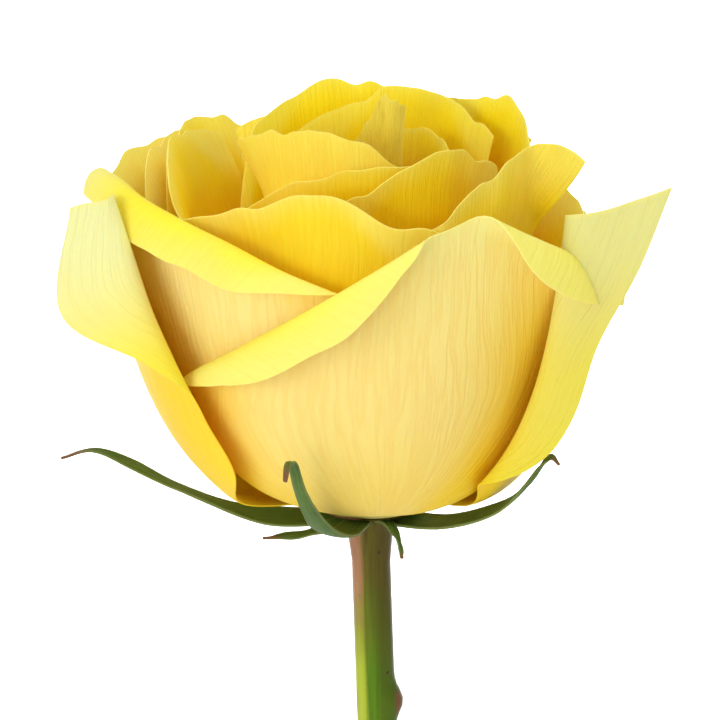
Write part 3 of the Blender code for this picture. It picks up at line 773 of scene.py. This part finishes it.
def petal_finish(name, outer, inner):
    """A petal's satin face: veins that fan from its foot, and colours from foot to rim for its two faces."""
    made, shader = new_finish(f"{name}_finish", {
        "Roughness": 0.5, "Specular IOR Level": 0.15, "Subsurface Weight": 0.4, "Subsurface Scale": 0.0015,
        "Subsurface Radius": (1.0, 0.8, 0.15)})
    across, up, is_inner = on_leaf(made)
    is_outer = minus(made, 1.0, is_inner)
    patches = noise(made, here(made), PETAL_PATCHES)
    grain = noise(made, here(made), PETAL_GRAIN, 2.0)
    swayed = plus(made, across, swing(made, patches, VEIN_SWAY))
    veins = veined(made, swayed, up, PETAL_VEINS)
    fine = veined(made, swayed, up, FINE_VEINS)

    side = step_between(made, away(made, across, SIDE_MIDDLE), *SIDE_BAND)
    height = plus(made, plus(made, up, swing(made, patches, COLOUR_SWAY)), times(made, side, SIDE_PALE))
    base = mixed(made, is_inner, ramp(made, height, outer), ramp(made, height, inner))
    # Lower sides of the outer face turn gold: partly the petal's own deeper colour, partly painted golden
    # shade of the gaps between petals
    gold_and_shade = times(made, times(made, side, step_between(made, up, *GOLD_AND_SHADE_BAND)), is_outer)
    base = tinted(made, base, times(made, gold_and_shade, SIDE_GOLD_AND_SHADE if "outer" in name else SIDE_GOLD_AND_SHADE_WITHIN), GOLD_AND_SHADE)
    base = tinted(made, base, times(made, step_between(made, patches, *BLUSH_BAND), BLUSH_SHARE), BLUSH)
    lines = plus(made, times(made, veins, VEIN_SHARE), times(made, fine, FINE_VEIN_SHARE))
    clear = minus(made, 1.0, times(made, is_inner, VEIN_LOSS))
    base = tinted(made, base, times(made, lines, clear), VEIN_AMBER)
    base = tinted(made, base, times(made, step_between(made, up, *RIM_BAND), RIM_SHARE), RIM_PALE)

    feed(made, shader, {"Base Color": base, "Roughness": plus(made, 0.44, times(made, patches, 0.16))})
    bumped(made, shader, ((veins, -0.00005), (fine, -0.00002), (grain, 0.00001)))
    return made


def flushed(made, base, height, left, streaks):
    """The stem's colour, browner towards the bloom and pink there on its left."""
    brown = step_between(made, height, *BROWN_BAND)
    base = mixed(made, times(made, brown, FLUSH), base, two_tone(made, streaks, STEM_BROWN))
    pink = times(made, left, step_between(made, height, *PINK_BAND))
    return mixed(made, times(made, pink, FLUSH), base, two_tone(made, streaks, STEM_PINK))


def scarred(made, base, aside, height):
    """The stem's colour, brown where a leaf scar stands out."""
    out = step_between(made, maths(made, "ABSOLUTE", aside), *(STEM_RADIUS + rise for rise in SCAR_RISE))
    for scar, _ in SCARS:
        near = step_between(made, away(made, height, scar), *SCAR_BAND)
        base = tinted(made, base, times(made, near, out), SCAR_BROWN)
    return base


def stem_finish():
    """Waxy green skin with painted light on its pale left and painted shade on its darker right, flushed
    under the bloom, with fine streaks and brown specks.
    """
    made, shader = new_finish("stem_skin", {
        "Roughness": 0.3, "Specular IOR Level": 0.2, "Subsurface Weight": 0.05, "Subsurface Scale": 0.0008})
    split = add(made, "SeparateXYZ", {0: here(made)})
    x, z = split.outputs["X"], split.outputs["Z"]
    stretched = add(made, "Mapping", {"Vector": here(made), "Scale": STEM_STREAKS})
    streaks = noise(made, stretched.outputs[0], 1.0)
    patches = noise(made, here(made), STEM_PATCHES)
    aside = plus(made, x, times(made, minus(made, z, VASE_FLOOR), stem_lean()))
    swayed = plus(made, aside, swing(made, streaks, STREAK_SWAY))
    # Painted shade on the stem's right side and painted light on its left
    right = step_between(made, swayed, *SHADED_RIGHT_BAND)
    left = step_between(made, swayed, *LIT_LEFT_BAND)

    base = mixed(made, right, two_tone(made, streaks, STEM_MIDDLE), two_tone(made, patches, STEM_SHADED_RIGHT))
    base = mixed(made, left, base, two_tone(made, streaks, STEM_LIT_LEFT))
    base = flushed(made, base, plus(made, z, swing(made, patches, PATCH_SWAY)), left, streaks)
    cells = add(made, "TexVoronoi", {"Vector": here(made), "Scale": SPECKS, "Randomness": 1.0})
    rare = step_between(made, noise(made, here(made), 260.0), 0.52, 0.6)
    specks = times(made, step_between(made, cells.outputs["Distance"], 0.24, 0.12), rare)
    base = tinted(made, base, times(made, specks, 0.85), SPECK_BROWN)
    base = scarred(made, base, aside, z)

    feed(made, shader, {"Base Color": base, "Roughness": plus(made, 0.22, times(made, streaks, 0.2))})
    bumped(made, shader, ((streaks, 0.00009), (specks, 0.00008)))
    return made


def sepal_finish():
    """Soft matt green with lengthwise veins, paler edges and a dry brown tip."""
    made, shader = new_finish("sepal_green", {
        "Roughness": 0.6, "Subsurface Weight": 0.12, "Subsurface Scale": 0.001})
    across, up, _ = on_leaf(made)
    veins = veined(made, across, up, SEPAL_VEINS)
    patches = noise(made, here(made), 300.0)
    base = two_tone(made, patches, SEPAL_GREEN)
    base = tinted(made, base, times(made, veins, 0.3), SEPAL_VEIN)
    edge = step_between(made, away(made, across, 0.5), 0.36, 0.47)
    base = tinted(made, base, times(made, edge, 0.4), SEPAL_EDGE)
    dry = step_between(made, plus(made, up, times(made, patches, 0.12)), 0.86, 1.0)
    base = tinted(made, base, dry, SEPAL_DRY)
    feed(made, shader, {"Base Color": base})
    bumped(made, shader, ((veins, 0.00008), (patches, 0.00005)))
    return made


def receptacle_finish():
    """The pale green seat of the petals."""
    made, shader = new_finish("receptacle_green", {"Roughness": 0.6})
    patches = noise(made, here(made), 400.0)
    feed(made, shader, {"Base Color": two_tone(made, patches, SEAT_GREEN)})
    bumped(made, shader, ((patches, 0.0001),))
    return made


def glass_finish():
    """Clear glass, a trace green, faintly wavy and with dry water marks."""
    made, shader = new_finish("vase_glass", {
        "Base Color": (0.955, 0.98, 0.97, 1), "Roughness": 0.0, "Transmission Weight": 1.0, "IOR": 1.5})
    waves = noise(made, here(made), 45.0, 1.0)
    marks = step_between(made, noise(made, here(made), 160.0, 5.0, 0.65), 0.55, 0.75)
    feed(made, shader, {"Roughness": times(made, marks, 0.09)})
    bumped(made, shader, ((waves, 0.0003),))
    return made


def water_finish():
    """Clear water with a barely moving surface."""
    made, shader = new_finish("water", {
        "Base Color": (0.98, 0.995, 0.99, 1), "Roughness": 0.0, "Transmission Weight": 1.0, "IOR": 1.333})
    waves = noise(made, here(made), 70.0, 1.0)
    bumped(made, shader, ((waves, 0.0001),))
    return made


def paper_finish():
    """Plain pale paper."""
    made, shader = new_finish("studio_paper", {"Roughness": 0.9})
    patches = noise(made, here(made), 300.0)
    feed(made, shader, {"Base Color": mixed(made, patches, (0.90, 0.90, 0.895, 1), (0.93, 0.93, 0.925, 1))})
    return made


# Vase and water

def vase_radius(height):
    """The vase's outer radius at a height."""
    lower = bezier(((VASE_FOOT_RADIUS, 0), (0.0300, 0.012), (VASE_BELLY_RADIUS, 0.028),
                    (VASE_BELLY_RADIUS, VASE_BELLY_HEIGHT)))
    shoulder = bezier(((VASE_BELLY_RADIUS, VASE_BELLY_HEIGHT), (VASE_BELLY_RADIUS, 0.080),
                       (VASE_NECK_RADIUS, 0.088), (VASE_NECK_RADIUS, VASE_NECK_HEIGHT)))
    lip = bezier(((VASE_NECK_RADIUS, VASE_NECK_HEIGHT), (VASE_NECK_RADIUS, 0.164),
                  (0.0115, 0.174), (VASE_LIP_RADIUS, VASE_HEIGHT)))
    line = np.concatenate([lower, shoulder[1:], lip[1:]])
    return np.interp(height, line[:, 1], line[:, 0])


def hollow(bite, top, steps):
    """The vase's inside and a bite of its glass, as radius and height from the top to the floor's middle."""
    floor = VASE_FLOOR - bite
    heights = np.linspace(top, floor + VASE_CORNER, steps)
    walls = [(vase_radius(z) - VASE_WALL + bite, z) for z in heights]
    turn = np.linspace(0, pi / 2, CORNER_STEPS)[1:]
    side = walls[-1][0] - VASE_CORNER
    round_in = [(side + VASE_CORNER * cos(a), floor + VASE_CORNER * (1 - sin(a))) for a in turn]
    return walls + round_in + [(0, floor)]


def make_vase():
    """The glass wall and its heavy foot, turned in one piece."""
    foot = [(0, 0)] + [(VASE_FOOT_RADIUS - inwards, z) for inwards, z in FOOT_ROUND]
    outside = [(vase_radius(z), z) for z in np.linspace(VASE_EDGE, VASE_HEIGHT, OUTSIDE_STEPS)[1:]]
    middle = VASE_LIP_RADIUS - VASE_WALL / 2
    turn = np.linspace(0, pi, BRIM_STEPS)[1:-1]
    brim = [(middle + VASE_WALL / 2 * cos(a), VASE_HEIGHT + VASE_EDGE * sin(a)) for a in turn]
    profile = foot + outside + brim + hollow(0, VASE_HEIGHT, INSIDE_STEPS)
    placed("vase_body", turned("vase_body", profile, VASE_SIDES), glass_finish(), "vase")


def make_water():
    """The water, which climbs a little where it meets the glass."""
    wall = hollow(WATER_BITE, WATER_HEIGHT + MENISCUS, WATER_STEPS)
    edge = wall[0][0]
    climb = [(edge - d, WATER_HEIGHT + MENISCUS * np.exp(-d / MENISCUS_FALL)) for d in MENISCUS_STEPS]
    profile = [(0, WATER_HEIGHT)] + climb + wall
    placed("water_body", turned("water_body", profile[::-1], VASE_SIDES), water_finish(), "water")


# Stem, receptacle and sepals

def stem_lean():
    """How far the stem leans left for each metre up, from the floor's middle to the neck's left side."""
    room = VASE_NECK_RADIUS - VASE_WALL - 1.5 * GAP - STEM_RADIUS
    return room / (VASE_NECK_HEIGHT - VASE_FLOOR)


def stem_x(height):
    """Where the stem's middle is at a height."""
    return -stem_lean() * (height - VASE_FLOOR)


def scar_bulge(rise, turn):
    """How far a leaf scar stands out of the stem."""
    return SCAR_OUT * np.exp(-((rise / SCAR_TALL) ** 2)) * max(0, cos(turn)) ** 2


def make_stem(finish):
    """The stem and the hip at its top, faintly ribbed."""
    heights = np.linspace(VASE_FLOOR + GAP, BLOOM_HEIGHT + HIP_START * MM, STEM_STEPS)
    rings = [(z, STEM_RADIUS) for z in heights]
    rings += [(BLOOM_HEIGHT + z * MM, r * MM) for z, r in HIP]
    corners = []
    for height, radius in rings:
        for angle in np.linspace(0, 2 * pi, STEM_SIDES, endpoint=False):
            rib = RIB_DEPTH * sin(STEM_RIBS * angle + RIB_TWIST * height) - RIB_SINK
            out = radius + rib + sum(scar_bulge(height - z, angle - radians(way)) for z, way in SCARS)
            corners.append((stem_x(height) + out * cos(angle), out * sin(angle), height))
    placed("stem", lofted("stem", corners, STEM_SIDES), finish, "stem_and_sepals")


def make_receptacle(bloom):
    """The seat that the petals' feet are sunk in."""
    cone = tuple((r, cone_height(r - SUNK)) for r in CONE_RINGS)
    corners = []
    for radius, height in RECEPTACLE_RINGS + cone:
        for angle in np.linspace(0, 2 * pi, STEM_SIDES, endpoint=False):
            corners.append(bloom + np.array([radius * cos(angle), radius * sin(angle), height]) * MM)
    seat = lofted("receptacle", corners, STEM_SIDES)
    placed("receptacle", seat, receptacle_finish(), "bloom")


def make_sepal(sepal, number, finish, bloom):
    """A pointed green blade, a little keeled and wavy, with its root sunk in the hip."""
    rows, columns = SEPAL_GRID
    v, across = np.meshgrid(np.linspace(0, 1, rows), np.linspace(-1, 1, columns), indexing="ij")
    rib = np.array(sepal.rib, float)
    points = smooth(rib, 2 * v - 1)
    along = unit(smooth(rib, 2 * v - 0.98) - smooth(rib, 2 * v - 1.02))
    run = rib[-1] - rib[0]
    rightwards, backwards = run[:2] / np.hypot(run[0], run[1])
    side = np.array([-backwards, rightwards, 0])
    up = np.cross(along, side)
    taper = (1 - v) ** 0.8 * (0.75 + 0.25 * np.sin(np.pi * np.minimum(v / 0.4, 1)))
    width = sepal.half_width * (SEPAL_WIDTH[0] + SEPAL_WIDTH[1] * taper)
    wave = SEPAL_WAVE * np.sin(14 * v + 2 * across + number) * across**2
    hang = SEPAL_HANG * width * (abs(rightwards) - rightwards * across)
    lift = SEPAL_KEEL * across**2 * width + wave * ease(v / 0.3) - hang
    points = points + side * (across * width)[..., None] + up * lift[..., None]
    thickness = (SEPAL_THICK[0] - SEPAL_THICK[1] * across**2) * (1 - SEPAL_THIN * v)
    mesh = leaf(f"sepal_{number}", points + bloom / MM, thickness, across, v)
    placed(f"sepal_{number}", mesh, finish, "stem_and_sepals")


# Bloom

def make_petal(petal, finish, bloom):
    """One petal, thinner towards its rim."""
    u, v = petal_grid(petal)
    points = petal_points(petal, u, v)
    to_edge = np.maximum(ease((v - 0.6) / 0.4), ease((np.abs(u) - 0.8) / 0.2))
    thickness = PETAL_THICK + (RIM_THICK - PETAL_THICK) * to_edge
    mesh = leaf(petal.name, points + bloom / MM, thickness, u, v)
    placed(petal.name, mesh, finish, "bloom")


def make_bloom(bloom):
    """The petals on their seat, with a finish for each ring and for the two that have their own, the right
    outer petal's darkened with painted shade.
    """
    finishes = {name: petal_finish(name, *colours) for name, colours in PETAL_COLOURS.items()}
    for petal in PETALS:
        make_petal(petal, finishes.get(petal.name, finishes[ring_of(petal)]), bloom)
    make_receptacle(bloom)


# Studio

def make_floor():
    """A sheet of paper that runs back from the object and curves up far behind it."""
    turn = np.linspace(0, pi / 2, PAPER_STEPS)
    bend = [(PAPER_BACK + PAPER_BEND * sin(a), PAPER_BEND * (1 - cos(a))) for a in turn]
    line = [(PAPER_FRONT, 0.0), (0.0, 0.0)] + bend + [(PAPER_BACK + PAPER_BEND, PAPER_TOP)]
    corners = [(x, y, z) for y, z in line for x in (-PAPER_HALF, PAPER_HALF)]
    faces = [(2 * i, 2 * i + 1, 2 * i + 3, 2 * i + 2) for i in range(len(line) - 1)]
    mesh = new_mesh("paper", corners, faces)
    mesh.materials.append(paper_finish())
    mesh.shade_smooth()
    paper = bpy.data.objects.new("paper", mesh)
    bpy.context.collection.objects.link(paper)


def aimed(thing, place, aim):
    """Puts a lamp or a camera at a place and turns it to a point."""
    bpy.context.collection.objects.link(thing)
    thing.location = place
    thing.rotation_euler = (Vector(aim) - Vector(place)).to_track_quat("-Z", "Y").to_euler()


def make_light(name, place, size, energy, aim=TARGET, spread=180):
    """A large soft light that looks at a point, the bloom unless another is given."""
    light = bpy.data.lights.new(name, "AREA")
    light.shape = "DISK"
    light.size = size
    light.energy = energy
    light.spread = radians(spread)
    aimed(bpy.data.objects.new(name, light), place, aim)


def make_sky():
    """Even light from all round, and how often light may bounce."""
    world = bpy.data.worlds.new("studio")
    world.use_nodes = True
    world.node_tree.nodes["Background"].inputs["Color"].default_value = (1.0, 1.0, 1.0, 1)
    world.node_tree.nodes["Background"].inputs["Strength"].default_value = SKY
    scene = bpy.context.scene
    scene.world = world
    scene.view_settings.view_transform = "Standard"
    scene.cycles.diffuse_bounces = DIFFUSE_BOUNCES
    scene.cycles.transmission_bounces = TRANSMISSION_BOUNCES
    scene.cycles.max_bounces = MAX_BOUNCES


def make_camera():
    """A camera in front of the bloom and a little above it."""
    camera = bpy.data.objects.new("camera", bpy.data.cameras.new("camera"))
    camera.data.lens = CAMERA_LENS
    angle = radians(CAMERA_ELEVATION)
    aimed(camera, Vector(TARGET) + CAMERA_DISTANCE * Vector((0, -cos(angle), sin(angle))), TARGET)
    bpy.context.scene.camera = camera


def make_studio():
    """The paper, the lights and the camera."""
    make_floor()
    for light in LIGHTS:
        make_light(*light)
    make_sky()
    make_camera()


def main():
    """The studio, the vase with its water, the stem with its sepals, and the bloom."""
    bloom = np.array([stem_x(BLOOM_HEIGHT), 0, BLOOM_HEIGHT])
    make_studio()
    make_vase()
    make_water()
    make_stem(stem_finish())
    green = sepal_finish()
    for number, sepal in enumerate(SEPALS):
        make_sepal(sepal, number, green, bloom)
    make_bloom(bloom)


main()
